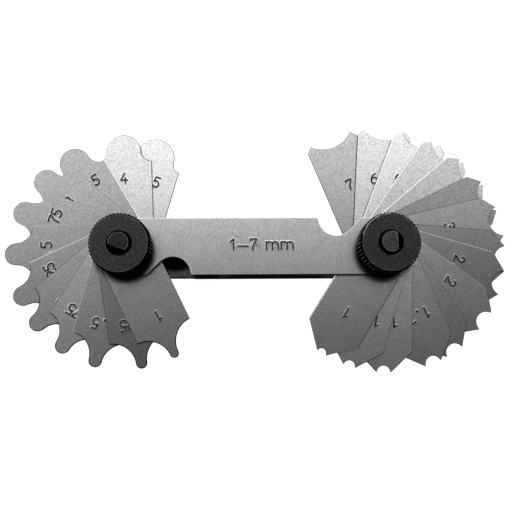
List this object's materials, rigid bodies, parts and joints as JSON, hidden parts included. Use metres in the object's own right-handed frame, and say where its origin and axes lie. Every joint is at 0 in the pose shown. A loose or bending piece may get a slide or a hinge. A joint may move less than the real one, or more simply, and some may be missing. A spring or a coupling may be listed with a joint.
{
  "type": "radius gauge",
  "caption": "Radius gauge with fanned convex and concave steel blades that swing in a flat two-plate holder, each fan clamped by a black knurled nut.",
  "frame": {"origin": "on the outer face of the back plate, midway between the two pivots", "axes": "+X along the holder from the convex blades to the concave blades, +Z from the back plate to the nuts, with the gauge lying on its back"},
  "size_m": [0.1135, 0.0569, 0.0173],
  "materials": {
    "holder_steel": "satin",
    "blade_steel": "satin",
    "nut_black": "satin",
    "screw_black": "satin"
  },
  "bodies": {
    "holder": {"back_plate": "holder_steel", "front_plate": "holder_steel", "left_screw": "screw_black", "right_screw": "screw_black"},
    "left_nut": {"left_nut": "nut_black"},
    "right_nut": {"right_nut": "nut_black"},
    "convex_blade_1_00": {"convex_blade_1_00": "blade_steel"},
    "convex_blade_1_25": {"convex_blade_1_25": "blade_steel"},
    "convex_blade_1_50": {"convex_blade_1_50": "blade_steel"},
    "convex_blade_1_75": {"convex_blade_1_75": "blade_steel"},
    "convex_blade_2_00": {"convex_blade_2_00": "blade_steel"},
    "convex_blade_2_25": {"convex_blade_2_25": "blade_steel"},
    "convex_blade_2_50": {"convex_blade_2_50": "blade_steel"},
    "convex_blade_2_75": {"convex_blade_2_75": "blade_steel"},
    "convex_blade_3_00": {"convex_blade_3_00": "blade_steel"},
    "convex_blade_3_50": {"convex_blade_3_50": "blade_steel"},
    "convex_blade_4_00": {"convex_blade_4_00": "blade_steel"},
    "convex_blade_4_50": {"convex_blade_4_50": "blade_steel"},
    "convex_blade_5_00": {"convex_blade_5_00": "blade_steel"},
    "convex_blade_5_50": {"convex_blade_5_50": "blade_steel"},
    "convex_blade_6_00": {"convex_blade_6_00": "blade_steel"},
    "convex_blade_6_50": {"convex_blade_6_50": "blade_steel"},
    "convex_blade_7_00": {"convex_blade_7_00": "blade_steel"},
    "concave_blade_1_00": {"concave_blade_1_00": "blade_steel"},
    "concave_blade_1_25": {"concave_blade_1_25": "blade_steel"},
    "concave_blade_1_50": {"concave_blade_1_50": "blade_steel"},
    "concave_blade_1_75": {"concave_blade_1_75": "blade_steel"},
    "concave_blade_2_00": {"concave_blade_2_00": "blade_steel"},
    "concave_blade_2_25": {"concave_blade_2_25": "blade_steel"},
    "concave_blade_2_50": {"concave_blade_2_50": "blade_steel"},
    "concave_blade_2_75": {"concave_blade_2_75": "blade_steel"},
    "concave_blade_3_00": {"concave_blade_3_00": "blade_steel"},
    "concave_blade_3_50": {"concave_blade_3_50": "blade_steel"},
    "concave_blade_4_00": {"concave_blade_4_00": "blade_steel"},
    "concave_blade_4_50": {"concave_blade_4_50": "blade_steel"},
    "concave_blade_5_00": {"concave_blade_5_00": "blade_steel"},
    "concave_blade_5_50": {"concave_blade_5_50": "blade_steel"},
    "concave_blade_6_00": {"concave_blade_6_00": "blade_steel"},
    "concave_blade_6_50": {"concave_blade_6_50": "blade_steel"},
    "concave_blade_7_00": {"concave_blade_7_00": "blade_steel"}
  },
  "joints": [
    {"name": "left_nut_turn", "type": "hinge", "parent": "holder", "child": "left_nut", "pos_m": [-0.0291, 0, 0], "axis": [0, 0, 1], "range_deg": [0, 360]},
    {"name": "right_nut_turn", "type": "hinge", "parent": "holder", "child": "right_nut", "pos_m": [0.0291, 0, 0], "axis": [0, 0, 1], "range_deg": [0, 360]},
    {"name": "convex_blade_1_00_swing", "type": "hinge", "parent": "holder", "child": "convex_blade_1_00", "pos_m": [-0.0291, 0, 0], "axis": [0, 0, 1], "continuous": true},
    {"name": "convex_blade_1_25_swing", "type": "hinge", "parent": "holder", "child": "convex_blade_1_25", "pos_m": [-0.0291, 0, 0], "axis": [0, 0, 1], "continuous": true},
    {"name": "convex_blade_1_50_swing", "type": "hinge", "parent": "holder", "child": "convex_blade_1_50", "pos_m": [-0.0291, 0, 0], "axis": [0, 0, 1], "continuous": true},
    {"name": "convex_blade_1_75_swing", "type": "hinge", "parent": "holder", "child": "convex_blade_1_75", "pos_m": [-0.0291, 0, 0], "axis": [0, 0, 1], "continuous": true},
    {"name": "convex_blade_2_00_swing", "type": "hinge", "parent": "holder", "child": "convex_blade_2_00", "pos_m": [-0.0291, 0, 0], "axis": [0, 0, 1], "continuous": true},
    {"name": "convex_blade_2_25_swing", "type": "hinge", "parent": "holder", "child": "convex_blade_2_25", "pos_m": [-0.0291, 0, 0], "axis": [0, 0, 1], "continuous": true},
    {"name": "convex_blade_2_50_swing", "type": "hinge", "parent": "holder", "child": "convex_blade_2_50", "pos_m": [-0.0291, 0, 0], "axis": [0, 0, 1], "continuous": true},
    {"name": "convex_blade_2_75_swing", "type": "hinge", "parent": "holder", "child": "convex_blade_2_75", "pos_m": [-0.0291, 0, 0], "axis": [0, 0, 1], "continuous": true},
    {"name": "convex_blade_3_00_swing", "type": "hinge", "parent": "holder", "child": "convex_blade_3_00", "pos_m": [-0.0291, 0, 0], "axis": [0, 0, 1], "continuous": true},
    {"name": "convex_blade_3_50_swing", "type": "hinge", "parent": "holder", "child": "convex_blade_3_50", "pos_m": [-0.0291, 0, 0], "axis": [0, 0, 1], "continuous": true},
    {"name": "convex_blade_4_00_swing", "type": "hinge", "parent": "holder", "child": "convex_blade_4_00", "pos_m": [-0.0291, 0, 0], "axis": [0, 0, 1], "continuous": true},
    {"name": "convex_blade_4_50_swing", "type": "hinge", "parent": "holder", "child": "convex_blade_4_50", "pos_m": [-0.0291, 0, 0], "axis": [0, 0, 1], "continuous": true},
    {"name": "convex_blade_5_00_swing", "type": "hinge", "parent": "holder", "child": "convex_blade_5_00", "pos_m": [-0.0291, 0, 0], "axis": [0, 0, 1], "continuous": true},
    {"name": "convex_blade_5_50_swing", "type": "hinge", "parent": "holder", "child": "convex_blade_5_50", "pos_m": [-0.0291, 0, 0], "axis": [0, 0, 1], "continuous": true},
    {"name": "convex_blade_6_00_swing", "type": "hinge", "parent": "holder", "child": "convex_blade_6_00", "pos_m": [-0.0291, 0, 0], "axis": [0, 0, 1], "continuous": true},
    {"name": "convex_blade_6_50_swing", "type": "hinge", "parent": "holder", "child": "convex_blade_6_50", "pos_m": [-0.0291, 0, 0], "axis": [0, 0, 1], "continuous": true},
    {"name": "convex_blade_7_00_swing", "type": "hinge", "parent": "holder", "child": "convex_blade_7_00", "pos_m": [-0.0291, 0, 0], "axis": [0, 0, 1], "continuous": true},
    {"name": "concave_blade_1_00_swing", "type": "hinge", "parent": "holder", "child": "concave_blade_1_00", "pos_m": [0.0291, 0, 0], "axis": [0, 0, 1], "continuous": true},
    {"name": "concave_blade_1_25_swing", "type": "hinge", "parent": "holder", "child": "concave_blade_1_25", "pos_m": [0.0291, 0, 0], "axis": [0, 0, 1], "continuous": true},
    {"name": "concave_blade_1_50_swing", "type": "hinge", "parent": "holder", "child": "concave_blade_1_50", "pos_m": [0.0291, 0, 0], "axis": [0, 0, 1], "continuous": true},
    {"name": "concave_blade_1_75_swing", "type": "hinge", "parent": "holder", "child": "concave_blade_1_75", "pos_m": [0.0291, 0, 0], "axis": [0, 0, 1], "continuous": true},
    {"name": "concave_blade_2_00_swing", "type": "hinge", "parent": "holder", "child": "concave_blade_2_00", "pos_m": [0.0291, 0, 0], "axis": [0, 0, 1], "continuous": true},
    {"name": "concave_blade_2_25_swing", "type": "hinge", "parent": "holder", "child": "concave_blade_2_25", "pos_m": [0.0291, 0, 0], "axis": [0, 0, 1], "continuous": true},
    {"name": "concave_blade_2_50_swing", "type": "hinge", "parent": "holder", "child": "concave_blade_2_50", "pos_m": [0.0291, 0, 0], "axis": [0, 0, 1], "continuous": true},
    {"name": "concave_blade_2_75_swing", "type": "hinge", "parent": "holder", "child": "concave_blade_2_75", "pos_m": [0.0291, 0, 0], "axis": [0, 0, 1], "continuous": true},
    {"name": "concave_blade_3_00_swing", "type": "hinge", "parent": "holder", "child": "concave_blade_3_00", "pos_m": [0.0291, 0, 0], "axis": [0, 0, 1], "continuous": true},
    {"name": "concave_blade_3_50_swing", "type": "hinge", "parent": "holder", "child": "concave_blade_3_50", "pos_m": [0.0291, 0, 0], "axis": [0, 0, 1], "continuous": true},
    {"name": "concave_blade_4_00_swing", "type": "hinge", "parent": "holder", "child": "concave_blade_4_00", "pos_m": [0.0291, 0, 0], "axis": [0, 0, 1], "continuous": true},
    {"name": "concave_blade_4_50_swing", "type": "hinge", "parent": "holder", "child": "concave_blade_4_50", "pos_m": [0.0291, 0, 0], "axis": [0, 0, 1], "continuous": true},
    {"name": "concave_blade_5_00_swing", "type": "hinge", "parent": "holder", "child": "concave_blade_5_00", "pos_m": [0.0291, 0, 0], "axis": [0, 0, 1], "continuous": true},
    {"name": "concave_blade_5_50_swing", "type": "hinge", "parent": "holder", "child": "concave_blade_5_50", "pos_m": [0.0291, 0, 0], "axis": [0, 0, 1], "continuous": true},
    {"name": "concave_blade_6_00_swing", "type": "hinge", "parent": "holder", "child": "concave_blade_6_00", "pos_m": [0.0291, 0, 0], "axis": [0, 0, 1], "continuous": true},
    {"name": "concave_blade_6_50_swing", "type": "hinge", "parent": "holder", "child": "concave_blade_6_50", "pos_m": [0.0291, 0, 0], "axis": [0, 0, 1], "continuous": true},
    {"name": "concave_blade_7_00_swing", "type": "hinge", "parent": "holder", "child": "concave_blade_7_00", "pos_m": [0.0291, 0, 0], "axis": [0, 0, 1], "continuous": true}
  ]
}
